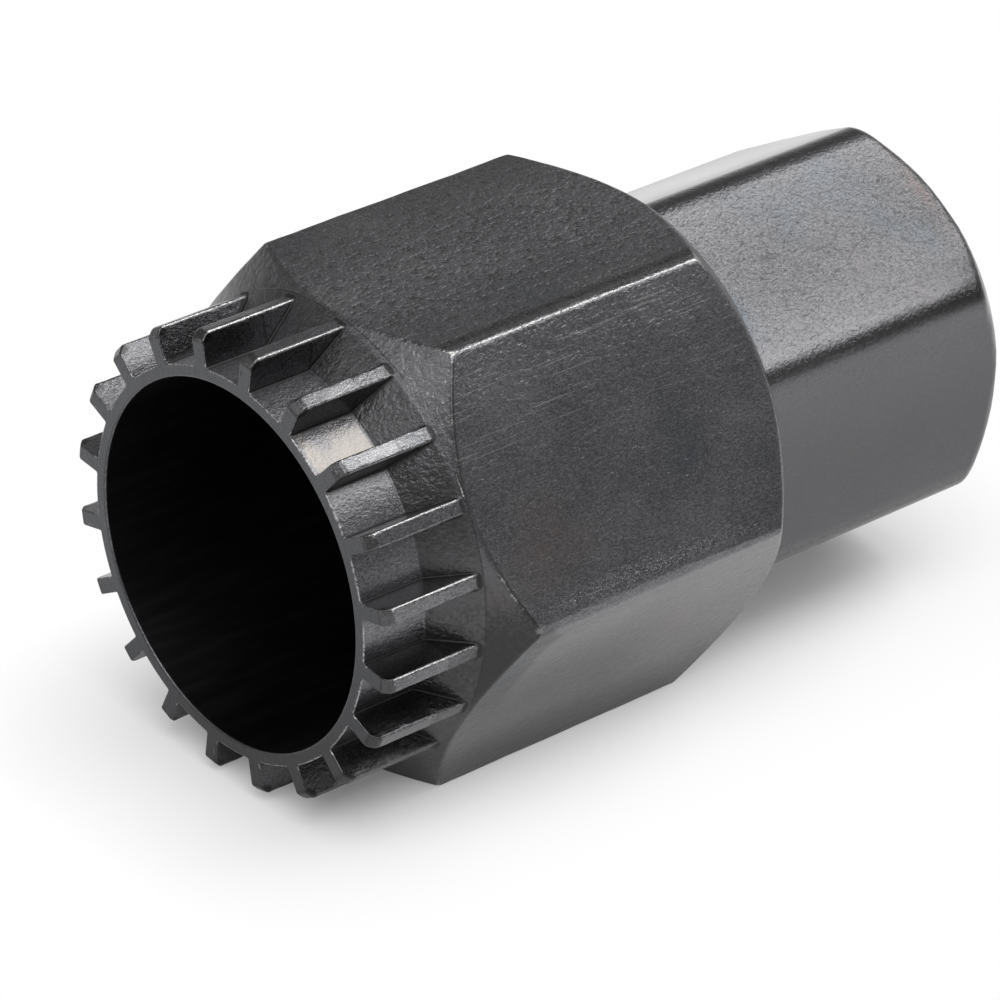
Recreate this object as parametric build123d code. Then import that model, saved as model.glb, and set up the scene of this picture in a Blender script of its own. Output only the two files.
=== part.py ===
from build123d import *
import math
import os

# Bottom bracket tool: one piece of blackened steel, with a toothed mouth, a large hexagon and a
# small hexagon behind it. X runs along the tool's axis, from the toothed front face at X = 0 to
# the drive end. Z is up: the tool lies on one flat of its large hexagon. Lengths in millimetres.

# Toothed mouth
tooth_count = 20
tip_diameter = 31.6
tooth_height = 2.35
tooth_width = 1.1
tooth_turn = 5.6            # degrees from the Y axis to the first tooth
root_fillet = 0.35
tip_rounding = 0.12         # along the two long edges of a tooth's tip
nose_chamfer = 0.5          # on the front outer corner of each tooth
floor_length = 4.9          # of the round floor between two teeth, from the front face

# Large hexagon
large_flats = 32.0
large_corner_radius = 0.35
collar_place = 7.85         # where the ramp behind the teeth meets the hexagon's front chamfer
large_length = 26.1         # from there to the rear shoulder
shoulder_diameter = 30.9

# Small hexagon
small_flats = 25.4
small_corner_radius = 2.5
small_length = 22.3
end_diameter = 25.2         # of the flat end face, inside its turned chamfer

chamfer_angle = 45.0        # degrees between each hexagon's turned chamfers and the axis

# Inside: a bore from the front, and a passage to the square drive in the end
bore_diameter = 25.1
bore_depth = 30.0
bore_lip = 0.1
bore_bottom_angle = 31.0    # degrees between the bore's sloping bottom and its mouth
passage_diameter = 18.6
square_size = 12.7
square_clearance = 0.1
square_depth = 18.0
square_lead = 0.8

# Values that follow from the sizes above
tip_radius = tip_diameter / 2
floor_radius = tip_radius - tooth_height
collar_radius = large_flats / 2
bore_radius = bore_diameter / 2
passage_radius = passage_diameter / 2
shoulder_place = collar_place + large_length
end_place = shoulder_place + small_length
square_side = square_size + square_clearance
square_place = end_place - square_depth

# How far a turned limit reaches outside the section that it trims
spare = 1.0


def corner_distance(flats):
    """Distance from the axis to a hexagon's sharp corner."""
    return flats / 2 / math.cos(math.radians(30))


def turned(*corners):
    """A solid turned about the X axis, from (place, radius) corners of its half section."""
    return revolve(make_face(Polyline(*corners, close=True)), axis=Axis.X)


def across(place):
    """The plane across the axis at a place, with its own X along the tool's Y."""
    return Plane(origin=(place, 0, 0), x_dir=(0, 1, 0), z_dir=(1, 0, 0))


def rounded_hexagon(flats, corner_radius, turn):
    """A hexagon with round corners, the first of them at turn degrees from the Y axis."""
    hexagon = RegularPolygon(flats / 2, 6, major_radius=False, rotation=turn)
    return fillet(hexagon.vertices(), corner_radius)


def chamfer_run(flats, inner_radius):
    """Length of a turned chamfer, from its inner circle out to spare beyond the corners."""
    rise = corner_distance(flats) + spare - inner_radius
    return rise / math.tan(math.radians(chamfer_angle))


def toothed_section():
    """The wall round the bore with its teeth, rounded at their roots and tips."""
    blank = Pos(tip_radius / 2, 0) * Rectangle(tip_radius + spare, tooth_width)
    turns = [tooth_turn + number * 360 / tooth_count for number in range(tooth_count)]
    section = Circle(floor_radius) + [Rot(0, 0, turn) * blank for turn in turns]
    section = section & Circle(tip_radius)
    middle = floor_radius + tooth_height / 2
    roots = [v for v in section.vertices() if math.hypot(v.X, v.Y) < middle]
    section = fillet(roots, root_fillet)
    tips = [v for v in section.vertices() if math.hypot(v.X, v.Y) > middle]
    return fillet(tips, tip_rounding)


def toothed_mouth():
    """The teeth, chamfered at the front, and the ramp that their gaps run out on."""
    blank = extrude(across(0) * toothed_section(), amount=collar_place)
    nose = turned(
        (0, 0),
        (0, tip_radius - nose_chamfer),
        (nose_chamfer + spare, tip_radius + spare),
        (collar_place, tip_radius + spare),
        (collar_place, 0),
    )
    ramp = turned(
        (floor_length, 0),
        (floor_length, floor_radius),
        (collar_place, collar_radius),
        (collar_place, 0),
    )
    return (blank & nose) + ramp


def large_hexagon():
    """The large hexagon between its two turned chamfers and the rear shoulder."""
    reach = corner_distance(large_flats) + spare
    shoulder_radius = shoulder_diameter / 2
    section = rounded_hexagon(large_flats, large_corner_radius, 0)
    blank = extrude(across(collar_place) * section, amount=large_length)
    limits = turned(
        (collar_place, 0),
        (collar_place, collar_radius),
        (collar_place + chamfer_run(large_flats, collar_radius), reach),
        (shoulder_place - chamfer_run(large_flats, shoulder_radius), reach),
        (shoulder_place, shoulder_radius),
        (shoulder_place, 0),
    )
    return blank & limits


def small_hexagon():
    """The small hexagon, half a side round from the large one, with its chamfered end."""
    reach = corner_distance(small_flats) + spare
    end_radius = end_diameter / 2
    section = rounded_hexagon(small_flats, small_corner_radius, 30)
    blank = extrude(across(shoulder_place) * section, amount=small_length)
    limits = turned(
        (shoulder_place, 0),
        (shoulder_place, reach),
        (end_place - chamfer_run(small_flats, end_radius), reach),
        (end_place, end_radius),
        (end_place, 0),
    )
    return blank & limits


def bore():
    """The bore with its lip and sloping bottom, and the round passage behind it."""
    bottom_run = (bore_radius - passage_radius) * math.tan(math.radians(bore_bottom_angle))
    return turned(
        (0, 0),
        (0, bore_radius + bore_lip),
        (bore_lip, bore_radius),
        (bore_depth, bore_radius),
        (bore_depth + bottom_run, passage_radius),
        (square_place, passage_radius),
        (square_place, 0),
    )


def square_drive():
    """The square socket in the end, with a short lead-in on its four sides."""
    section = Rectangle(square_side, square_side)
    mouth = Rectangle(square_side + 2 * square_lead, square_side + 2 * square_lead)
    socket = extrude(across(square_place) * section, amount=square_depth)
    return socket + loft([across(end_place - square_lead) * section, across(end_place) * mouth])


tool_body = toothed_mouth() + large_hexagon() + small_hexagon() - bore() - square_drive()
tool_body = tool_body.solid()

os.makedirs("parts", exist_ok=True)
export_step(tool_body, "parts/tool_body.step")
print("tool_body:", len(tool_body.faces()), "faces,", round(tool_body.volume), "cubic millimetres")
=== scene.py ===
import bpy
import math
import numpy as np
from mathutils import Matrix, Vector


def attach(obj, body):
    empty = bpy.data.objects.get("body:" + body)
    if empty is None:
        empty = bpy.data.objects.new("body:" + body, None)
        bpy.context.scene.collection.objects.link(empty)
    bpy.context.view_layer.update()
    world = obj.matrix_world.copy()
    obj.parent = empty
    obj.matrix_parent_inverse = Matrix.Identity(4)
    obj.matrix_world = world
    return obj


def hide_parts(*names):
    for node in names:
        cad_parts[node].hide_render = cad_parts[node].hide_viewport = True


# Bottom bracket tool of blackened steel, lying on one flat of its large hexagon. X runs along
# the tool's axis from its toothed front face, and Z is up. Sizes here are in millimetres, places
# along X are measured from that face, and angles run round the axis from Y towards Z in degrees.

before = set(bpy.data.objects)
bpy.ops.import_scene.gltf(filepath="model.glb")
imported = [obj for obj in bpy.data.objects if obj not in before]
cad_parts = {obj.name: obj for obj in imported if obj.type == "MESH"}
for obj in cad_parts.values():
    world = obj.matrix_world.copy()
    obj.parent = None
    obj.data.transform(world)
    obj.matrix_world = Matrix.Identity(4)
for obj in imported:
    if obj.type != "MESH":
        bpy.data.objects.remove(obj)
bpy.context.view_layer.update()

MM = 0.001                  # one millimetre in metres
ROOT2 = math.sqrt(2)

TOOTH_COUNT = 20
TOOTH_STEP = 360 / TOOTH_COUNT
TOOTH_TURN = 5.6            # angle of the first tooth
TIP_RADIUS = 31.6 / 2
FLOOR_RADIUS = TIP_RADIUS - 2.35
HALF_TOOTH = 1.1 / 2
NOSE_RADIUS = TIP_RADIUS - 0.5
FLOOR_END = 4.9             # where the gaps' floors end and the ramp behind them begins
COLLAR_PLACE = 7.85         # where the ramp ends and the front cone begins
LARGE_FLAT = 32 / 2
LARGE_CORNER = 0.35
COLLAR_RADIUS = LARGE_FLAT
RAMP_SLOPE = (COLLAR_RADIUS - FLOOR_RADIUS) / (COLLAR_PLACE - FLOOR_END)
SHOULDER_PLACE = COLLAR_PLACE + 26.1
SHOULDER_RADIUS = 30.9 / 2
SMALL_FLAT = 25.4 / 2
SMALL_CORNER = 2.5
SMALL_REACH = 14.29         # just past the small hexagon's round corners
END_PLACE = SHOULDER_PLACE + 22.3
END_RADIUS = 25.2 / 2
BORE_RADIUS = 25.1 / 2
BORE_LIP = 0.1
BORE_END = 30.0
BOTTOM_RUN = 1.953          # how far the bore's bottom slopes along the axis
PASSAGE_RADIUS = 18.6 / 2
SQUARE_HALF = 12.8 / 2
SQUARE_PLACE = END_PLACE - 18
SQUARE_LEAD = 0.8

# Where a form that joins another begins, hidden inside that one
SMALL_START = FLOOR_END + COLLAR_PLACE
PASSAGE_START = 20
SQUARE_START = 30
LEAD_START = END_PLACE - 2

# How far edges are worn round and corners filled
TOOTH_EDGE = 0.2
NOSE_EDGE = 0.12
TOOTH_ROOT = 0.1
TOOTH_SHORT = 0.12          # the teeth end this far before the collar
RAMP_CORNER = 0.05
FRONT_CREST = 0.16
CRISP_CREST = 0.05          # the same edge where it faces the camera
REAR_CREST = 0.18
SHOULDER_EDGE = 0.15
SMALL_ROOT = 0.3
SMALL_CREST = 0.35
END_EDGE = 0.12
FACE_EDGE = 0.09
LIP_EDGE = 0.05
MOUTH_EDGE = 0.06
BOTTOM_CORNER = 0.2
SQUARE_CORNER = 0.4
LEAD_EDGE = 0.1
BLUNT_SHARE = 1.9           # how much wider the wear is along the large hexagon's blunt edges

# Angles of the two long edges of the large hexagon that the camera sees
TOP_EDGE = 120
LOW_EDGE = 180

# The tool's form, as a distance to its surface

def rounded_meet(first, second, radius):
    """Distance to the space inside both forms, with the edge between them rounded."""
    inside = np.minimum(np.maximum(first, second), -radius)
    return inside + np.hypot(np.maximum(first + radius, 0), np.maximum(second + radius, 0))


def filleted_join(first, second, radius):
    """Distance to the space inside either form, with the corner between them filled."""
    return -rounded_meet(-first, -second, radius)


def from_nearest(angle, first, step):
    """Angle in degrees from the nearest of the directions that start at first."""
    return (angle - first + step / 2) % step - step / 2


def hexagon(rho, angle, flat, corner, flat_turn):
    """Distance to a hexagonal bar with round corners, one flat facing flat_turn degrees."""
    turn = np.radians(from_nearest(angle, flat_turn, 60))
    out = rho * np.cos(turn) - (flat - corner)
    past = np.abs(rho * np.sin(turn)) - (flat - corner) * math.tan(math.radians(30))
    return np.hypot(np.maximum(out, 0), np.maximum(past, 0)) + np.minimum(out, 0) - corner


def uneven(x, angle, seed):
    """A slow wave from -1 to 1 over the surface, for wear that differs from place to place."""
    turn = np.radians(angle)
    wave = np.sin(0.9 * x + 7 * turn + seed) + np.sin(2.3 * x - 11 * turn + 2 * seed)
    return (wave + np.sin(0.37 * x + 3 * turn + 5 * seed) + np.sin(4.1 * x + 19 * turn)) / 4


def near(value, middle, half):
    """1 at the middle, falling smoothly to 0 at half away from it."""
    share = np.clip(1 - np.abs(value - middle) / half, 0, 1)
    return share * share * (3 - 2 * share)


def facing(angle, middle, half):
    """1 where the angle is the middle one, falling smoothly to 0 at half degrees from it."""
    return near(from_nearest(angle, middle, 360), 0, half)


def outside(x, rho, angle, soft):
    """Distance to the tool's outside, as if it were solid."""
    wear = 1 + 0.45 * uneven(x, angle, 1.7)
    blunt = 0.75 * facing(angle, LOW_EDGE, 12) * np.clip((36 - x) / 16, 0, 1)
    blunt += 0.2 * facing(angle, TOP_EDGE, 12)
    from_groove = np.hypot(x - COLLAR_PLACE, rho - COLLAR_RADIUS - 0.02)
    groove = 0.028 * facing(angle, 112, 30) ** 0.5 - from_groove
    turn = np.radians(from_nearest(angle, TOOTH_TURN, TOOTH_STEP))
    side = np.abs(rho * np.sin(turn)) - HALF_TOOTH
    tooth = rounded_meet(side, rho - TIP_RADIUS, soft(TOOTH_EDGE * wear))
    tooth = rounded_meet(tooth, (rho - NOSE_RADIUS - x) / ROOT2, soft(NOSE_EDGE * wear))
    tooth = np.maximum(tooth, x - COLLAR_PLACE + TOOTH_SHORT)

    rise, run = COLLAR_RADIUS - FLOOR_RADIUS, COLLAR_PLACE - FLOOR_END
    ramp = ((rho - FLOOR_RADIUS) * run - (x - FLOOR_END) * rise) / math.hypot(run, rise)
    cone = (rho - COLLAR_RADIUS - x + COLLAR_PLACE) / ROOT2
    body = filleted_join(rho - FLOOR_RADIUS, ramp, RAMP_CORNER)
    body = filleted_join(body, cone, RAMP_CORNER)
    body = np.maximum(body, groove)
    large = hexagon(rho, angle, LARGE_FLAT, soft(LARGE_CORNER * wear + blunt, BLUNT_SHARE), 30)
    crest = FRONT_CREST + (CRISP_CREST - FRONT_CREST) * facing(angle, 133, 24)
    body = rounded_meet(body, large, soft(crest * wear))
    rear = (rho - SHOULDER_RADIUS + x - SHOULDER_PLACE) / ROOT2
    body = rounded_meet(body, rear, soft(REAR_CREST * wear))
    body = rounded_meet(body, x - SHOULDER_PLACE, soft(SHOULDER_EDGE))
    body = filleted_join(body, tooth, soft(TOOTH_ROOT))

    small = hexagon(rho, angle, SMALL_FLAT, SMALL_CORNER, 0)
    end = (rho - END_RADIUS + x - END_PLACE) / ROOT2
    small = rounded_meet(small, end, soft(SMALL_CREST * wear))
    small = rounded_meet(small, x - END_PLACE, soft(END_EDGE))
    small = np.maximum(small, SMALL_START - x)
    body = filleted_join(body, small, soft(SMALL_ROOT))
    return rounded_meet(body, -x, soft(FACE_EDGE))


def hollow(x, y, z, rho, soft):
    """Distance to the space inside: the bore, the passage and the square socket."""
    narrowing = BORE_RADIUS - PASSAGE_RADIUS
    bottom = (x - BORE_END) * narrowing + (rho - BORE_RADIUS) * BOTTOM_RUN
    bore = np.maximum(rho - BORE_RADIUS, bottom / math.hypot(narrowing, BOTTOM_RUN))
    space = filleted_join(bore, (rho - BORE_RADIUS - BORE_LIP + x) / ROOT2, soft(LIP_EDGE))
    passage = np.maximum(rho - PASSAGE_RADIUS, np.maximum(x - SQUARE_PLACE, PASSAGE_START - x))
    space = filleted_join(space, passage, soft(BOTTOM_CORNER))
    across = np.maximum(np.abs(y), np.abs(z))
    square = rounded_meet(np.abs(y) - SQUARE_HALF, np.abs(z) - SQUARE_HALF, soft(SQUARE_CORNER))
    lead = (across - SQUARE_HALF - x + END_PLACE - SQUARE_LEAD) / ROOT2
    square = filleted_join(square, np.maximum(lead, LEAD_START - x), soft(LEAD_EDGE))
    return filleted_join(space, np.maximum(square, SQUARE_START - x), soft(LEAD_EDGE))


def form(points, edge=None):
    """Distance to the tool's surface. With edge given, every edge is rounded by that much, and
    the blunt ones along the large hexagon by more."""
    x, y, z = points.T
    rho, angle = np.hypot(y, z), np.degrees(np.arctan2(z, y))

    def soft(radius, share=1.0):
        return radius if edge is None else share * edge

    inside = hollow(x, y, z, rho, soft)
    return rounded_meet(outside(x, rho, angle, soft), -inside, soft(MOUTH_EDGE))


PROBE = 0.004               # how far apart distances are taken to find a direction
LAYING_PASSES = 6
LONGEST_MOVE = 0.25         # of a point in one pass


def slope(points):
    """Direction out of the surface at each point, not yet of length 1."""
    axes = np.eye(3) * PROBE
    return np.stack([form(points + a) - form(points - a) for a in axes], axis=1) / (2 * PROBE)


def laid_on_form(points):
    """The same points, each moved the short way onto the tool's surface."""
    for _ in range(LAYING_PASSES):
        out = slope(points)
        move = form(points) / np.maximum((out * out).sum(axis=1), 0.2)
        points = points - np.clip(move, -LONGEST_MOVE, LONGEST_MOVE)[:, None] * out
    return points


# Rings of points round the axis. They run from the toothed face back over the outside, and
# forward through the inside to the bore's mouth.

EDGE = [0.03, 0.07, 0.12, 0.18, 0.26, 0.36, 0.5, 0.72, 1.05]      # steps away from an edge
CONE_EDGE = EDGE[:7]        # the same on a cone, which is shorter
FULL_ROOM = 0.9             # a cone this long or longer has room for those
SHORTEST_CONE = 0.12        # the least length that rings on the front cone allow for
SHORTEST_END = 0.09         # and on the small hexagon's turned end
LONG_STEPS = 15             # along a hexagon's flats, between the steps near its edges
ROOT_REACH = 0.35           # from a tooth's side to where the points in its gap are spread out


def ring(x, rho, angle):
    """Points at places x and radii rho, at angles in degrees from the Y axis."""
    turn = np.radians(angle)
    x = np.broadcast_to(x, turn.shape)
    return np.stack([x, rho * np.cos(turn), rho * np.sin(turn)], axis=1)


def tooth_sector():
    """Offset in mm, share of the tooth's height and share of the gap, over one tooth."""
    foot = HALF_TOOTH + ROOT_REACH
    gap = [(foot, 0, share) for share in (0.72, 0.45, 0.2, 0)]
    root = [(0.2, 0), (0.1, 0), (0.05, 0.01), (0.02, 0.02), (0.01, 0.05)]
    root += [(0, 0.1), (0, 0.2), (0, 0.4), (0, 0.75)]
    root = [(HALF_TOOTH + out, up / (TIP_RADIUS - FLOOR_RADIUS), 0) for out, up in root]
    flank = [(HALF_TOOTH, height, 0) for height in (0.5, 0.68, 0.82, 0.91, 0.955, 0.985, 1)]
    top = [(offset, 1, 0) for offset in (0.525, 0.49, 0.44, 0.36, 0.24, 0.12)]
    half = np.array(gap + root + flank + top)
    middle = np.array([[0, 1, 0]])
    gap_middle = np.array([[-foot, 0, 1]])
    return np.concatenate([gap_middle, half * [-1, 1, 1], middle, half[::-1]])


def toothed_ring(x, low, high, inset=0.0):
    """A ring over all the teeth: gaps at radius low, tips at high, outline moved in by inset."""
    offset, height, share = np.tile(tooth_sector(), (TOOTH_COUNT, 1)).T
    rho = low + (high - low) * height - inset
    inward = np.where(np.abs(offset) < HALF_TOOTH, np.abs(offset) * inset / HALF_TOOTH, inset)
    turn = np.degrees(np.arcsin((np.abs(offset) - inward) / rho))
    turn = turn + (TOOTH_STEP / 2 - turn) * share
    tooth = np.repeat(np.arange(TOOTH_COUNT), len(tooth_sector()))
    return ring(x, rho, TOOTH_TURN + tooth * TOOTH_STEP + np.sign(offset) * turn)


def toothed_rings():
    """Rings from just outside the bore's mouth, over the teeth, to the end of the ramp."""
    rings = [toothed_ring(0, 13.3, 13.3, 0.3)]
    for inset in (0.3, 0.16, 0.08, 0.03):
        rings.append(toothed_ring(0, FLOOR_RADIUS, NOSE_RADIUS, inset))
    front = [0, 0.03, 0.08, 0.15, 0.25, 0.38, 0.5, 0.65, 0.9, 1.3, 1.9, 2.6, 3.3, 4.0, 4.5, 4.78]
    back = [4.9, 5.02, 5.3, 5.7, 6.1, 6.5, 6.85, 7.1, 7.3, 7.42, 7.51, 7.57, 7.62, 7.68, 7.73, 7.77]
    for x in front + back:
        low = FLOOR_RADIUS + max(0, x - FLOOR_END) * RAMP_SLOPE
        rings.append(toothed_ring(x, low, max(low, min(TIP_RADIUS, NOSE_RADIUS + x))))
    return rings


def flat_turns(half_side, flat, steps):
    """Angles from a flat's middle out to both its corners, at steps in mm from the corners."""
    turns = np.degrees(np.arctan((half_side - np.array(steps)) / flat))
    return np.concatenate([-turns, [0], turns[:0:-1]])


def bar_turns(sides, first, flat, steps):
    """Angles round a bar of that many flats, close together at its corners."""
    one = flat_turns(flat * math.tan(math.pi / sides), flat, steps)
    return np.concatenate([first + side * 360 / sides + one for side in range(sides)])


def bar_radius(turns, sides, first, flat):
    """Distance from the axis to a sharp-cornered bar at those angles."""
    return flat / np.cos(np.radians(from_nearest(turns, first, 360 / sides)))


def large_rings():
    """Rings over the front cone, the large hexagon and the rear cone to the shoulder."""
    steps = [0] + EDGE + [1.5, 2.1, 2.9, 3.9, 5.0, 6.2, 7.3, 8.3]
    turns = bar_turns(6, 30, LARGE_FLAT, steps)
    rho = bar_radius(turns, 6, 30, LARGE_FLAT)
    front = COLLAR_PLACE + np.maximum(rho - COLLAR_RADIUS, SHORTEST_CONE)
    rear = SHOULDER_PLACE - (rho - SHOULDER_RADIUS)
    front_room = np.minimum(1, (front - COLLAR_PLACE) / FULL_ROOM)
    rear_room = np.minimum(1, (SHOULDER_PLACE - rear) / FULL_ROOM)

    # Over the front cone to its edge
    collar = (-0.05, -0.02, 0.01, 0.04)
    places = [np.full_like(turns, COLLAR_PLACE + step) for step in collar]
    cone_long = front - CONE_EDGE[-1] * front_room - COLLAR_PLACE - collar[-1]
    places += [places[-1] + cone_long * share for share in (0.02, 0.05, 0.15, 0.35, 0.6, 0.85)]
    places += [front - step * front_room for step in CONE_EDGE[::-1]]
    # Along the flats
    places += [front] + [front + step for step in EDGE]
    long = rear - front - 2 * EDGE[-1]
    places += [front + EDGE[-1] + long * step / LONG_STEPS for step in range(1, LONG_STEPS)]
    places += [rear - step for step in EDGE[::-1]]
    # Over the rear cone to the shoulder
    places += [rear] + [rear + step * rear_room for step in CONE_EDGE]
    past = rear + CONE_EDGE[-1] * rear_room
    places += [past + (SHOULDER_PLACE - past) * share for share in (0.3, 0.6, 0.8, 0.9, 0.96, 1)]
    rings = []
    for x in places:
        cone = COLLAR_RADIUS + np.where(x < COLLAR_PLACE, RAMP_SLOPE, 1) * (x - COLLAR_PLACE)
        out = np.minimum(np.minimum(rho, cone), SHOULDER_RADIUS + SHOULDER_PLACE - x)
        rings.append(ring(x, out, turns))
    for step in (0.04, 0.1, 0.2, 0.4):
        rings.append(ring(SHOULDER_PLACE, SHOULDER_RADIUS - step, turns))
    return rings


def small_rings():
    """Rings from the shoulder's root over the small hexagon and its flat end."""
    steps = [0, 0.2, 0.4, 0.6, 0.8, 1.0, 1.2, 1.4, 1.6, 1.9, 2.4, 3.1, 4.0, 5.1, 6.2]
    turns = bar_turns(6, 0, SMALL_FLAT, steps)
    rho = bar_radius(turns, 6, 0, SMALL_FLAT)
    round_rho = np.minimum(rho, SMALL_REACH)
    crest = END_PLACE - np.maximum(round_rho - END_RADIUS, SHORTEST_END)
    room = np.minimum(1, (END_PLACE - crest) / FULL_ROOM)

    rings = [ring(SHOULDER_PLACE, round_rho + step, turns) for step in (0.5, 0.32, 0.2, 0.1, 0.03)]
    root = (0, 0.06, 0.13, 0.22, 0.34, 0.5, 0.8)
    places = [SHOULDER_PLACE + step for step in root]
    begin = SHOULDER_PLACE + root[-1]
    long = crest - EDGE[-1] - begin
    places += [begin + long * step / LONG_STEPS for step in range(1, LONG_STEPS)]
    places += [crest - step for step in EDGE[::-1]]
    places += [crest] + [crest + step * room for step in CONE_EDGE]
    past = crest + CONE_EDGE[-1] * room
    places += [past + (END_PLACE - past) * share for share in (0.3, 0.6, 0.85, 1)]
    for x in places:
        rings.append(ring(x, np.minimum(round_rho, END_RADIUS + END_PLACE - x), turns))
    for step in (0.03, 0.08, 0.16, 0.3, 0.5):
        rings.append(ring(END_PLACE, END_RADIUS - step, turns))
    return rings


def socket_rings():
    """Rings from the flat end through the square socket and the round passage."""
    mouth = SQUARE_HALF + SQUARE_LEAD
    turns = bar_turns(4, 0, mouth, [0, 0.05, 0.12, 0.22, 0.4, 0.7, 1.2, 2.0, 3.2, 4.6, 5.9])
    side = bar_radius(turns, 4, 0, 1.0)
    stops = [(END_PLACE, mouth + step) for step in (0.7, 0.3, 0.15, 0.06, 0.02, 0)]
    stops += [(END_PLACE - step, mouth - step) for step in (0.03, 0.1, 0.3, 0.5, 0.7, 0.77)]
    depth = END_PLACE - SQUARE_LEAD - SQUARE_PLACE
    shares = [0, 0.003, 0.01, 0.03, 0.08, 0.2, 0.35, 0.5, 0.65, 0.8, 0.92, 0.98, 0.994]
    stops += [(SQUARE_PLACE + depth * (1 - share), SQUARE_HALF) for share in shares]
    rings = [ring(x, half * side, turns) for x, half in stops]
    for share in (0.05, 0.2, 0.5, 0.8, 1):
        rho = SQUARE_HALF * side
        rings.append(ring(SQUARE_PLACE, rho + (PASSAGE_RADIUS - rho) * share, turns))
    for x in (38.2, 38.05, 37.5, 36.4, 35.0, 33.6, 32.6, 32.2, 32.02):
        rings.append(ring(x, PASSAGE_RADIUS, turns))
    return rings


BORE_POINTS = 160           # points round each ring of the bore
END_STRIPS = 5              # strips of faces before the socket's mouth, still on the flat end
FACE_STRIPS = 7             # strips of faces after the bore's mouth, on the toothed face


def bore_rings():
    """Rings from the bore's sloping bottom forward to its mouth."""
    turns = np.arange(BORE_POINTS) * 360 / BORE_POINTS
    bottom = (9.36, 9.5, 9.9, 10.6, 11.4, 12.1, 12.4, 12.52)
    slant = BOTTOM_RUN / (BORE_RADIUS - PASSAGE_RADIUS)
    stops = [(BORE_END + (BORE_RADIUS - rho) * slant, rho) for rho in bottom]
    wall = [29.97, 29.8, 29.3] + list(range(28, 2, -2)) + [2.5, 1.4, 0.8, 0.45, 0.3, 0.2, 0.14]
    stops += [(x, BORE_RADIUS) for x in wall]
    stops += [(0.1, BORE_RADIUS), (0.05, BORE_RADIUS + 0.05)]
    stops += [(0, BORE_RADIUS + out) for out in (0.1, 0.13, 0.18, 0.25, 0.35)]
    return [ring(x, rho, turns) for x, rho in stops]


# The mesh

def turn_from(points, first):
    """How far round from the first angle each point is, in degrees from 0 to 360."""
    angle = np.degrees(np.arctan2(points[:, 2], points[:, 1]))
    return (angle - first) % 360


def zipped(first, second):
    """Triangles between two rings with different numbers of points, as (ring, point) pairs."""
    first_turn = np.degrees(np.arctan2(first[0, 2], first[0, 1]))
    round_first = np.append(turn_from(first, first_turn - 0.001), 360)
    second_turns = turn_from(second, first_turn - 0.001)
    start = int(np.argmin(second_turns))
    round_second = np.append(np.roll(second_turns, -start), 360)
    faces, i, j = [], 0, 0
    while i < len(first) or j < len(second):
        here, there = (0, i % len(first)), (1, (start + j) % len(second))
        if j == len(second) or (i < len(first) and round_first[i + 1] <= round_second[j + 1]):
            faces.append((here, (0, (i + 1) % len(first)), there))
            i += 1
        else:
            faces.append((here, (1, (start + j + 1) % len(second)), there))
            j += 1
    return faces


def strip(first, second):
    """Faces between two neighbouring rings, as (ring, point) pairs."""
    count = len(first)
    if count != len(second):
        return zipped(first, second)
    after = [(point + 1) % count for point in range(count)]
    return [((0, p), (0, after[p]), (1, after[p]), (1, p)) for p in range(count)]


WEAR_WIDTH = 0.3            # from an edge to where its wear ends
EDGE_CUT = 0.293            # how deep a round edge's middle lies under both sides, per radius

# Spots on the surface: place along the axis, angle, half length, half width and amount
RUBBED = [
    (4.0, 131.6, 5.0, 0.8, 0.7),
    (4.5, 113.6, 5.0, 0.8, 0.6),
    (10.25, 179.6, 0.3, 0.3, 0.9),
    (10.45, 120.0, 0.25, 0.25, 0.6),
    (31.2, 120.0, 0.5, 0.3, 0.7),
    (1.2, 23.6, 1.0, 1.4, 0.4),
]
# Temper colours in the same way, brown above 0 and blue below
TEMPERED = [
    (13.2, 163.0, 4.2, 4.0, 0.5),
    (27.0, 208.0, 5.0, 3.0, 0.3),
    (9.5, 192.0, 1.8, 3.5, -0.7),
    (48.6, 109.0, 1.3, 2.6, -0.45),
    (50.6, 117.5, 1.3, 2.8, -0.42),
    (52.5, 127.0, 1.2, 3.0, -0.28),
    (53.9, 138.0, 1.0, 2.8, -0.3),
    (55.2, 118.0, 0.9, 5.0, 0.6),
    (45.0, 107.5, 2.6, 2.2, -0.45),
    (47.0, 118.0, 2.0, 2.5, 0.22),
    (36.0, 131.0, 1.5, 2.2, -0.65),
    (45.0, 130.0, 8.0, 4.0, 0.15),
    (22.0, 146.0, 20.0, 12.0, -0.1),
]


def spots(places, x, rho, angle):
    """The sum of soft spots on the surface at each point."""
    total = np.zeros_like(x)
    for place, turn, length, width, amount in places:
        along = (x - place) / length
        around = np.radians(from_nearest(angle, turn, 360)) * rho / width
        total += amount * np.exp(-(along ** 2) - around ** 2)
    return total


def bare_gap(x, rho, angle):
    """The floor of the one gap between teeth that is rubbed bare, most of all at its front."""
    ends = np.clip((x - 0.15) / 0.2, 0, 1) * np.clip((FLOOR_END - x) / 0.1, 0, 1)
    turn = from_nearest(angle, 122.6, 360)
    sides = np.clip((6.6 - np.abs(turn)) / 0.5, 0, 1)
    share = np.clip(0.75 + turn / 14 + 0.25 * near(x, 0.6, 0.8) - 0.3 * near(x, 1.6, 1.2), 0, 1)
    return ends * sides * share * np.clip((FLOOR_RADIUS + 0.3 - rho) / 0.2, 0, 1)


def on_large_part(x):
    """Whether each point is on the large hexagon or on one of its cones."""
    return (x > COLLAR_PLACE) & (x < SHOULDER_PLACE)


def on_small_part(x):
    """Whether each point is past the shoulder, on the small hexagon or on its end."""
    return x > SHOULDER_PLACE + 0.1


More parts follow.
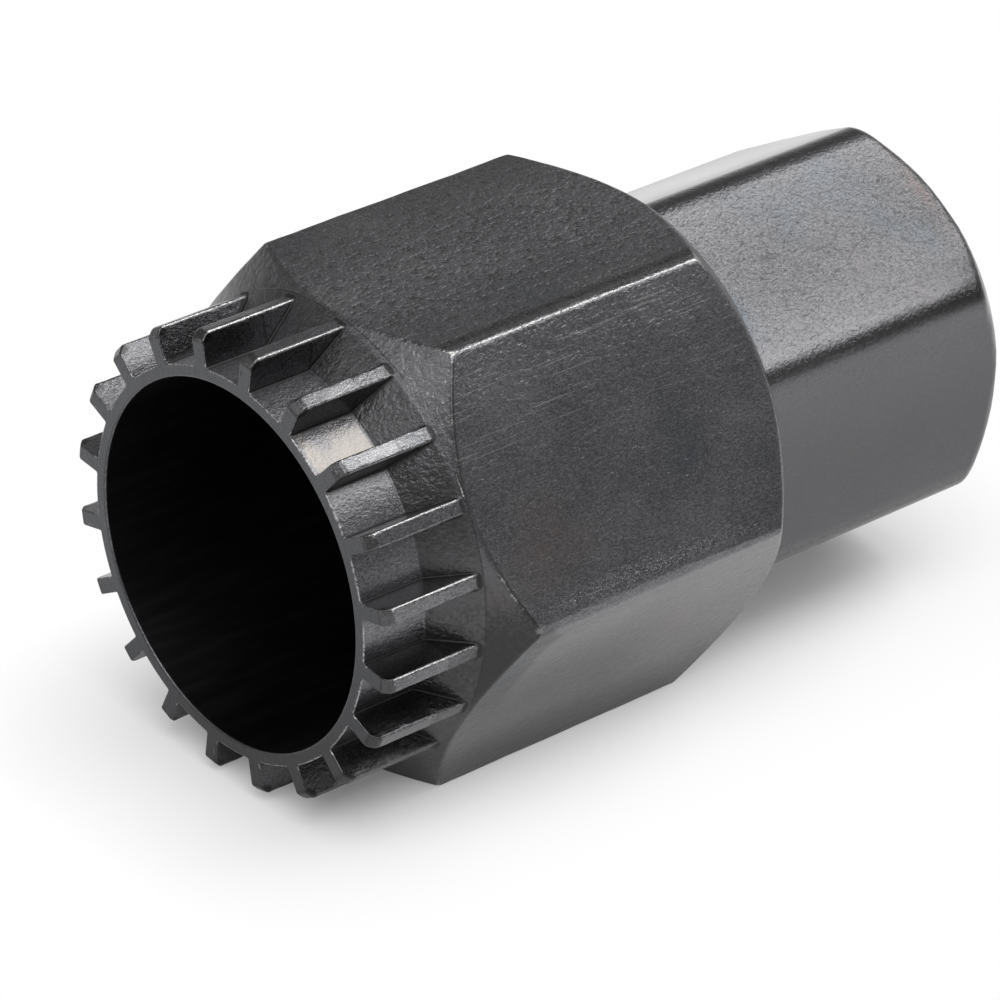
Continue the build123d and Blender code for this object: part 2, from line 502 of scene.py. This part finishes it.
def edge_wear(x, rho, angle):
    """How much of the finish is gone along each edge, from 0 to 1."""
    on_large = on_large_part(x)
    on_tooth = (x < COLLAR_PLACE) & (rho > 14.6)
    # A tooth's edges face 45 degrees to either side of it, and those on the upper near side wear most
    past_middle = from_nearest(angle, TOOTH_TURN, TOOTH_STEP)
    leans = angle - past_middle + 45 * np.sign(past_middle)
    tooth = 0.3 + 0.6 * near(from_nearest(leans, 113, 360), 0, 80)
    long_edge = near(from_nearest(angle, 0, 60), 0, 5)
    wear = np.where(on_large, 0.25 + 0.35 * long_edge, np.where(on_tooth, tooth, 0.2))
    wear = np.where(x > SHOULDER_PLACE, 0.1, wear)
    # More on the top edge than on the low one, and in patches along the front cone's edge
    wear += on_large * 0.35 * facing(angle, TOP_EDGE, 6)
    wear -= on_large * 0.5 * facing(angle, LOW_EDGE, 6)
    wear -= on_large * (x < 11) * facing(angle, 128, 12)
    wear += on_large * (x < 12) * (0.35 * facing(angle, 169, 11) + 0.3 * facing(angle, 109, 9))
    wear = np.where(x < 0.6, 0.45 * wear, wear)
    return np.clip(np.where((x < 0.3) & (rho > 13.2) & (rho < 13.8), 0.65, wear), 0, 1)


def banded_shade(x, rho, angle):
    """Painted shade in bands beside edges and round the corners, and darker tooth noses."""
    on_flats = (x > COLLAR_PLACE + 2.2) & (x < SHOULDER_PLACE - 2.2)
    beside = facing(angle, 117.2, 2.6) + 0.5 * facing(angle, 183, 4)
    small = on_small_part(x) * (rho > 13.0) * near(from_nearest(angle, 30, 60), 0, 6)
    small = small + (x > 50) * near(x, 54.6, 5) * facing(angle, 143, 13) * 0.6
    nose = (x < 0.7) * (rho > 15.1) * 0.7
    cone = (x > 5) * (x < 12) * facing(angle, 190, 45) * 0.5
    return np.clip(on_flats * beside * 0.8 + small * 0.6 + nose + cone, 0, 1)


def on_front_cone(x, rho):
    """Whether each point is on the cone between the teeth and the large hexagon."""
    return (x > COLLAR_PLACE - 0.06) & (np.abs(rho - COLLAR_RADIUS - x + COLLAR_PLACE) < 0.2)


def on_ramp(x, rho):
    """How nearly each point is on the ramp between the gaps' floors and the cone, from 0 to 1."""
    share = near(rho - FLOOR_RADIUS - (x - FLOOR_END) * RAMP_SLOPE, 0, 0.3) ** 0.5
    return share * (x < COLLAR_PLACE) * np.clip((x - FLOOR_END) / 0.08, 0, 1)


def from_front_edge(x, rho, angle):
    """Distance along the surface from the edge between the front cone and the large hexagon."""
    flat = rho * np.cos(np.radians(from_nearest(angle, 30, 60))) - LARGE_FLAT
    return np.abs(flat) + np.abs(rho - COLLAR_RADIUS - x + COLLAR_PLACE) / ROOT2


def painted_shade(x, rho, angle):
    """Painted shade, darker and less glossy: on ramps, low teeth and low sides."""
    on_large = on_large_part(x)
    # Painted shade on the ramps
    ramp = on_ramp(x, rho) * facing(angle, 130, 110)
    ramp = ramp * (1 - np.clip((x - 7.5) / 0.12, 0, 1) * facing(angle, 122, 34) ** 0.5)
    # Painted shade in thin dark lines at the front edge of the large hexagon and at the collar
    line = facing(angle, 131, 22) ** 0.5 * np.clip(angle - 121, 0, 1)
    line = line * near(from_front_edge(x, rho, angle), 0, 0.2) * 1.5
    line = line + facing(angle, 122, 34) ** 0.5 * near(x, COLLAR_PLACE, 0.1) * 0.9
    # Soft painted shade over the flats, the front cone and the small hexagon
    rear = on_large * near(x, 32, 13) * facing(angle, 146, 24) * 0.25
    cone = on_front_cone(x, rho) * facing(angle, 196, 55) * 1.2
    side = facing(angle, 190, 50) * 0.55 + near(x, 56, 14) ** 0.5 * facing(angle, 143, 15) * 0.7
    side = on_small_part(x) * side
    # Painted shade under the large hexagon and on its low side, darker towards the front
    under = on_large * facing(angle, 240, 34)
    under = under * (1.15 - 0.5 * np.clip((x - 12) / 16, 0, 1))
    low_side = (x > COLLAR_PLACE) * facing(angle, 207, 32) * np.clip((31 - x) / 9, 0, 1)
    # Painted shade on the low teeth, and on the flanks of the teeth
    low_teeth = (x < COLLAR_PLACE) * np.minimum(facing(angle, 250, 80) * 1.6, 1)
    off = np.abs(rho * np.sin(np.radians(from_nearest(angle, TOOTH_TURN, TOOTH_STEP))))
    height = np.clip((rho - 13.5) / 0.1, 0, 1) * np.clip((15.7 - rho) / 0.1, 0, 1)
    flank = (x < COLLAR_PLACE) * near(off, 0.56, 0.1) * height * facing(angle, 165, 175) ** 0.5
    teeth = ramp + 0.8 * np.maximum(low_teeth, flank)
    return np.clip(teeth + cone + side + line + rear + np.maximum(under, low_side * 0.7), 0, 1)


def surface_marks(points):
    """Marks that say, from 0 to 1 at each point, how finish and painted shade vary by place."""
    x, y, z = points.T
    rho, angle = np.hypot(y, z), np.degrees(np.arctan2(z, y))
    depth = (form(points, edge=WEAR_WIDTH) - form(points, edge=0.0)) / (EDGE_CUT * WEAR_WIDTH)
    on_large = on_large_part(x)
    on_small = on_small_part(x) & (rho > 12.6)
    on_face = x < 0.02
    scratched = np.where(on_large, 0.1 + 0.9 * facing(angle, 130, 28), 0.1)
    coarse = np.where(on_large, 0.85, 1.0)
    coarse = np.where(on_small, 0.15 + 0.5 * facing(angle, 120, 50), coarse)
    coarse = np.where(on_face, 0.25, coarse)
    turned = on_front_cone(x, rho) | (on_ramp(x, rho) > 0.5)
    coarse = np.where(turned, 0.2 + 0.4 * facing(angle, 100, 50), coarse)
    hammered = np.maximum(facing(angle, 90, 60), 0.15)
    hammered = np.where(on_front_cone(x, rho), 0.7 * hammered, hammered)
    hammered = np.where(on_large, hammered, np.where(x < FLOOR_END, 0.04, 0.12))
    hammered = np.where(on_small, 0.0, hammered)
    pitted = np.maximum(near(from_nearest(angle, 120, 180), 0, 54), 0.04)
    pitted = np.where(on_small, pitted, np.where(x > FLOOR_END, 0.32, 0.17))
    pitted = np.where(on_large, 0.1, pitted)
    burr = facing(angle, 176.8, 2.6) * near(x, 19.5, 12) ** 0.5
    return {
        "crest": np.clip(depth, 0, 1) * edge_wear(x, rho, angle),
        # Depth into filled corners, where the colour is darkened as painted shade
        "corner": np.clip(-depth, 0, 1),
        "scratched": scratched,
        "coarse": coarse,
        "rubbed": np.clip(spots(RUBBED, x, rho, angle), 0, 1),
        "bare_gap": bare_gap(x, rho, angle),
        "tempered": np.clip(spots(TEMPERED, x, rho, angle), -1, 1),
        "shade_bands": banded_shade(x, rho, angle),
        "painted_shade": painted_shade(x, rho, angle),
        "faced": np.where(on_face | (x < 0.12) & (rho < 12.8), 1.0, 0.0),
        "hammered": hammered,
        "pitted": pitted,
        "burred": on_large * burr,
        "polished": on_small * facing(angle, 60, 31) ** 0.3,
    }


def tool_mesh():
    """The whole tool as one closed mesh, with its marks and smooth surface directions."""
    outer = toothed_rings() + large_rings() + small_rings()
    rings = outer + socket_rings() + bore_rings()
    inside = range(len(outer) + END_STRIPS, len(rings) - FACE_STRIPS)
    starts = np.cumsum([0] + [len(points) for points in rings])
    faces, inner = [], []
    for number, points in enumerate(rings):
        following = (number + 1) % len(rings)
        begin = (int(starts[number]), int(starts[following]))
        made = strip(points, rings[following])
        faces += [[begin[which] + point for which, point in face] for face in made]
        inner += [int(number in inside)] * len(made)
    points = laid_on_form(np.concatenate(rings))

    mesh = bpy.data.meshes.new("bottom_bracket_tool")
    mesh.from_pydata(points * MM, [], faces)
    mesh.polygons.foreach_set("use_smooth", [True] * len(faces))
    mesh.polygons.foreach_set("material_index", inner)
    for name, values in surface_marks(points).items():
        mark = mesh.attributes.new(name, "FLOAT", "POINT")
        mark.data.foreach_set("value", values.astype(np.float32))
    out = slope(points)
    mesh.normals_split_custom_set_from_vertices(out / np.linalg.norm(out, axis=1)[:, None])
    return mesh


# Materials

class Shade:
    """One output inside a material. Arithmetic on it adds Math nodes."""

    def __init__(self, finish, socket):
        self.finish = finish
        self.socket = socket

    def math(self, operation, *values):
        return self.finish.node("ShaderNodeMath", {"operation": operation}, dict(enumerate(values)))

    def __add__(self, other):
        return self.math("ADD", self, other)

    def __sub__(self, other):
        return self.math("SUBTRACT", self, other)

    def __rsub__(self, other):
        return self.math("SUBTRACT", other, self)

    def __mul__(self, other):
        return self.math("MULTIPLY", self, other)

    __radd__ = __add__
    __rmul__ = __mul__

    def above(self, low, high):
        """0 where this is below low and 1 where it is above high, smooth between them."""
        limits = {"Value": self, "From Min": low, "From Max": high}
        return self.finish.node("ShaderNodeMapRange", {"interpolation_type": "SMOOTHSTEP"}, limits)


class Finish:
    """A material or a world in the making."""

    def __init__(self, owner):
        self.owner = owner
        owner.use_nodes = True
        self.tree = owner.node_tree
        self.tree.nodes.clear()

    def node(self, kind, settings, inputs, output=0):
        """A new node with its settings and its inputs' values or links, as one of its outputs."""
        made = self.tree.nodes.new(kind)
        for name, value in settings.items():
            setattr(made, name, value)
        for name, value in inputs.items():
            if isinstance(value, Shade):
                self.tree.links.new(value.socket, made.inputs[name])
            else:
                made.inputs[name].default_value = value
        return Shade(self, made.outputs[output])

    def place(self):
        """The place on the object, in metres."""
        return self.node("ShaderNodeTexCoord", {}, {}, "Object")

    def mark(self, name):
        """One of the mesh's own marks, from 0 to 1."""
        return self.node("ShaderNodeAttribute", {"attribute_name": name}, {}, "Fac")

    def stretched(self, place, along, across):
        """A place with that many units to the millimetre along the axis and across it."""
        scale = (along / MM, across / MM, across / MM)
        return self.vector("MULTIPLY", place, scale)

    def vector(self, operation, *values, output=0):
        """The result of one Vector Math node."""
        settings = {"operation": operation}
        return self.node("ShaderNodeVectorMath", settings, dict(enumerate(values)), output)

    def noise(self, place, along, across, detail=2.0, roughness=0.5):
        """Even noise round 0.5, with that many spots to the millimetre along and across the axis."""
        inputs = {"Vector": self.stretched(place, along, across), "Scale": 1.0}
        inputs.update({"Detail": detail, "Roughness": roughness})
        return self.node("ShaderNodeTexNoise", {}, inputs)

    def mixed(self, share, first, second):
        """The first colour where share is 0 and the second where it is 1."""
        settings = {"data_type": "RGBA", "blend_type": "MIX"}
        return self.node("ShaderNodeMix", settings, {0: share, 6: first, 7: second}, 2)

    def bumped(self, height):
        """The surface's direction, with height in millimetres."""
        return self.node("ShaderNodeBump", {}, {"Height": height, "Distance": MM, "Strength": 1.0})

    def surface(self, shader):
        """The finished material or world, with that shader on it."""
        of_world = isinstance(self.owner, bpy.types.World)
        made = self.tree.nodes.new("ShaderNodeOutputWorld" if of_world else "ShaderNodeOutputMaterial")
        self.tree.links.new(shader.socket, made.inputs["Surface"])
        return self.owner


OXIDE = (0.109, 0.109, 0.115, 1)
OXIDE_DARK = (0.066, 0.066, 0.072, 1)
OXIDE_LIGHT = (0.260, 0.259, 0.270, 1)
TEMPER_BROWN = (0.168, 0.128, 0.119, 1)
TEMPER_BLUE = (0.092, 0.114, 0.135, 1)
BARE = (0.50, 0.49, 0.483, 1)
BARE_WARM = (0.200, 0.186, 0.171, 1)
OXIDE_FACED = (0.043, 0.045, 0.050, 1)
# The dark that painted shade, dents and burr grains are mixed towards
SHADE_AND_DENT_DARK = (0.047, 0.045, 0.046, 1)
BORE_DARK = (0.042, 0.041, 0.045, 1)
BORE_LIGHT = (0.053, 0.052, 0.056, 1)


def blackened_steel():
    """The outside: black oxide over forged, brushed and turned surfaces, worn along its edges."""
    steel = Finish(bpy.data.materials.new("blackened_steel"))
    place = steel.place()
    crest, corner, shade_bands = steel.mark("crest"), steel.mark("corner"), steel.mark("shade_bands")
    rubbed, scratched, coarse = steel.mark("rubbed"), steel.mark("scratched"), steel.mark("coarse")
    hammered, pitted, burred = steel.mark("hammered"), steel.mark("pitted"), steel.mark("burred")
    tempered, gap = steel.mark("tempered"), steel.mark("bare_gap")
    shade_mark, faced, polished = steel.mark("painted_shade"), steel.mark("faced"), steel.mark("polished")

    # Textures, from slow clouds to fine grain, and two that run along the axis
    cloud = steel.noise(place, 0.13, 0.16, 3.0)
    leather = steel.noise(place, 1.2, 1.5, 2.0, 0.6)
    peel = steel.noise(place, 3.4, 3.9, 1.0, 0.6)
    sand = steel.noise(place, 4.6, 5.2, 2.0, 0.75)
    grain = steel.noise(place, 9.0, 10.0, 1.0, 0.6)
    brushed = steel.noise(place, 3.2, 10.5, 1.0, 0.6)
    strokes = steel.noise(place, 0.17, 9.5, 1.0, 0.5)
    bundles = steel.noise(place, 0.14, 2.3, 2.0, 0.6)

    # Bare steel: worn edges, scratches, specks and rubbed places
    worn_edge = (crest * 1.25 + (peel - 0.5) * 0.9 + (grain - 0.5) * 0.6).above(0.45, 0.95)
    scratches = strokes.above(0.59, 0.66) * scratched * bundles.above(0.47, 0.57)
    specks = grain.above(0.6, 0.7) * (rubbed * 0.3 + crest * 0.4 + 0.02)
    specks = specks + burred * grain.above(0.58, 0.64) * 0.8
    scuffed = (rubbed + (grain - 0.5) * 0.5).above(0.2, 0.9)
    bare = (worn_edge * 0.65 + specks * 0.5 + scratches * 0.45 + scuffed * 0.35).above(0.0, 1.0)

    # Colour: speckled oxide, temper colours, then the dark of dents, and painted shade in corners and
    # bands
    spread = (grain * 0.55 + brushed * 0.45 + (cloud - 0.5) * 0.3).above(0.35, 0.67)
    speckle = steel.mixed(spread, OXIDE_DARK, OXIDE_LIGHT)
    tint = steel.mixed(coarse * 0.6, steel.mixed(faced, OXIDE, OXIDE_FACED), speckle)
    drift = (cloud - 0.5) * 1.2 + tempered * (0.6 + peel * 0.8)
    tint = steel.mixed(drift.above(0.1, 0.8), tint, TEMPER_BROWN)
    tint = steel.mixed((0.0 - drift).above(0.1, 0.8), tint, TEMPER_BLUE)
    # Painted shade from corners and the shade marks; dents and burr grains are darker too
    dark = corner.above(0.3, 0.8) * 0.9 + shade_mark * 0.6 + burred * grain.above(0.5, 0.42) * 0.6
    dark = (dark + (shade_bands + (peel - 0.5) * 0.5).above(0.2, 0.7) * 0.55).above(0.0, 1.0)
    dents = leather * 0.45 + peel * 0.55
    dark = dark + dents.above(0.5, 0.36) * hammered * 0.7 + dents.above(0.46, 0.36) * pitted * 0.35
    tint = steel.mixed(dark, tint, SHADE_AND_DENT_DARK)
    tint = steel.mixed((gap + (grain - 0.5) * 0.9).above(0.15, 0.95), tint, BARE_WARM)
    colour = steel.mixed(bare, tint, BARE)

    # Relief and gloss
    height = leather * (hammered * 0.25 + pitted * 0.13)
    height = height + peel * (hammered * 0.08 + pitted * 0.085 + 0.002) + sand * (pitted * 0.06)
    height = height + grain * (pitted * 0.03 + crest * 0.02 + hammered * 0.01 + coarse * 0.011)
    height = height + grain * (burred * 0.03)
    rough = 0.28 + (cloud - 0.5) * 0.1 + (grain - 0.5) * 0.1 + pitted * 0.08 + hammered * 0.2
    rough = rough + corner * 0.3 - bare * 0.04 - polished * 0.14
    inputs = {"Base Color": colour, "Metallic": 1.0, "Roughness": rough, "Normal": steel.bumped(height)}
    inputs.update({"Coat Weight": 0.4 - dark * 0.35, "Coat Roughness": 0.16})
    return steel.surface(steel.node("ShaderNodeBsdfPrincipled", {}, inputs))


def bore_steel():
    """The inside: darker, with faint streaks along the bore."""
    steel = Finish(bpy.data.materials.new("bore_steel"))
    place = steel.place()
    streaks = steel.noise(place, 0.15, 1.6, 3.0)
    grain = steel.noise(place, 4.0, 5.0, 2.0)
    colour = steel.mixed(streaks.above(0.4, 0.7), BORE_DARK, BORE_LIGHT)
    height = streaks * 0.008 + grain * 0.004
    inputs = {"Base Color": colour, "Metallic": 1.0, "Roughness": 0.34 + streaks * 0.15}
    inputs["Normal"] = steel.bumped(height)
    return steel.surface(steel.node("ShaderNodeBsdfPrincipled", {}, inputs))


tool = bpy.data.objects.new("bottom_bracket_tool", tool_mesh())
tool.data.materials.append(blackened_steel())
tool.data.materials.append(bore_steel())
bpy.context.scene.collection.objects.link(tool)
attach(tool, "root")
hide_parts("tool_body")


# Camera, at the photograph's place

AZIMUTH, ELEVATION, ROLL = math.radians(-42.192), math.radians(30.101), math.radians(2.2)
LOOKED_AT = (27, 0, 0)
DISTANCE = 406.96
MOVED_LEFT, MOVED_DOWN = 3.07, 4.118
LENS = 222.572


def photo_camera():
    """A camera where the photograph's stood, fitted to the tool's corners in the picture."""
    away = Vector((math.sin(AZIMUTH), -math.cos(AZIMUTH), 0)) * math.cos(ELEVATION)
    away.z = math.sin(ELEVATION)
    level = Vector((math.cos(AZIMUTH), math.sin(AZIMUTH), 0))
    upright = away.cross(level)
    right = level * math.cos(ROLL) + upright * math.sin(ROLL)
    up = upright * math.cos(ROLL) - level * math.sin(ROLL)
    stand = Vector(LOOKED_AT) + away * DISTANCE - right * MOVED_LEFT - up * MOVED_DOWN
    camera = bpy.data.objects.new("camera", bpy.data.cameras.new("camera"))
    camera.data.lens = LENS
    turned = Matrix((right, up, away)).transposed().to_4x4()
    camera.matrix_world = Matrix.Translation(stand * MM) @ turned
    bpy.context.scene.collection.objects.link(camera)
    bpy.context.scene.camera = camera


# Floor, world and lamps

FLOOR = -16.02 * MM
# The floor from its middle to its rim in metres, as radii and heights
FLOOR_RIM = [(0.4, 0.0), (1.1, 0.0), (1.25, 0.008), (1.38, 0.035), (1.47, 0.09)]
FLOOR_RIM += [(1.5, 0.2), (1.5, 0.32)]
FLOOR_POINTS = 96           # points round each ring of the floor
FLOOR_WHITE = (0.88, 0.88, 0.88, 1)

# A rectangle under the tool, where the camera sees the floor as the lamps light it. Outwards from
# there it turns white over a short way.
SHADED_MIDDLE = (28.5 * MM, 0, FLOOR)
SHADED_HALF = (24.5 * MM, 6 * MM, 0)
SHADED_FADE = 16 * MM
LEAST_WHITE = 0.12


def floor_mesh():
    """A wide round floor that curves up to a low rim."""
    points = [(0, 0, FLOOR)]
    for radius, height in FLOOR_RIM:
        for step in range(FLOOR_POINTS):
            turn = 2 * math.pi * step / FLOOR_POINTS
            points.append((radius * math.cos(turn), radius * math.sin(turn), FLOOR + height))
    faces = [(0, 1 + step, 1 + (step + 1) % FLOOR_POINTS) for step in range(FLOOR_POINTS)]
    for row in range(len(FLOOR_RIM) - 1):
        low, high = 1 + row * FLOOR_POINTS, 1 + (row + 1) * FLOOR_POINTS
        for step in range(FLOOR_POINTS):
            after = (step + 1) % FLOOR_POINTS
            faces.append((low + step, high + step, high + after, low + after))
    mesh = bpy.data.meshes.new("floor")
    mesh.from_pydata(points, [], faces)
    mesh.polygons.foreach_set("use_smooth", [True] * len(faces))
    return mesh


def floor_paper():
    """Matt pale paper. The camera sees it white, apart from the tool's shadow."""
    paper = Finish(bpy.data.materials.new("floor_paper"))
    matt = paper.node("ShaderNodeBsdfDiffuse", {}, {"Color": FLOOR_WHITE})
    white = paper.node("ShaderNodeEmission", {}, {"Color": (1, 1, 1, 1), "Strength": 1.0})
    seen = paper.node("ShaderNodeLightPath", {}, {}, "Is Camera Ray")
    mirrored = paper.node("ShaderNodeLightPath", {}, {}, "Is Glossy Ray")
    through = paper.node("ShaderNodeLightPath", {}, {}, "Is Transmission Ray")
    off = paper.vector("SUBTRACT", paper.place(), SHADED_MIDDLE)
    off = paper.vector("SUBTRACT", paper.vector("ABSOLUTE", off), SHADED_HALF)
    off = paper.vector("LENGTH", paper.vector("MAXIMUM", off, (0, 0, 0)), output="Value")
    limits = {"Value": off, "From Max": SHADED_FADE, "To Min": LEAST_WHITE, "To Max": 1.0}
    share = seen * paper.node("ShaderNodeMapRange", {}, limits) + (mirrored + through) * 0.04
    return paper.surface(paper.node("ShaderNodeMixShader", {}, {0: share, 1: matt, 2: white}))


def studio_floor():
    """The floor, which is stage and no piece of the tool."""
    floor = bpy.data.objects.new("floor", floor_mesh())
    floor.data.materials.append(floor_paper())
    bpy.context.scene.collection.objects.link(floor)


def lamp(name, stand, aim, size, brightness):
    """A soft rectangular lamp at stand, turned to the point aim, with its size in metres."""
    light = bpy.data.lights.new(name, "AREA")
    light.shape = "RECTANGLE"
    light.size, light.size_y = size
    light.energy = brightness * math.pi * size[0] * size[1]
    made = bpy.data.objects.new(name, light)
    made.location = Vector(stand) * MM
    made.rotation_mode = "QUATERNION"
    made.rotation_quaternion = (Vector(stand) - Vector(aim)).to_track_quat("Z", "Y")
    bpy.context.scene.collection.objects.link(made)


def plain_world(brightness):
    """The same plain white light from all round."""
    world = Finish(bpy.data.worlds.new("studio"))
    grey = world.node("ShaderNodeBackground", {}, {"Color": (1, 1, 1, 1), "Strength": brightness})
    bpy.context.scene.world = world.surface(grey)


bpy.context.scene.view_settings.view_transform = "Standard"
photo_camera()
studio_floor()
plain_world(0.29)
lamp("overhead_lamp", (-240, -380, 790), (20, 0, 0), (0.8, 0.7), 3.0)
lamp("window_lamp", (590, -202, 679), (35, 0, 0), (0.72, 0.52), 3.65)
lamp("left_lamp", (-719, 195, 490), (10, 0, 0), (0.7, 0.5), 1.08)
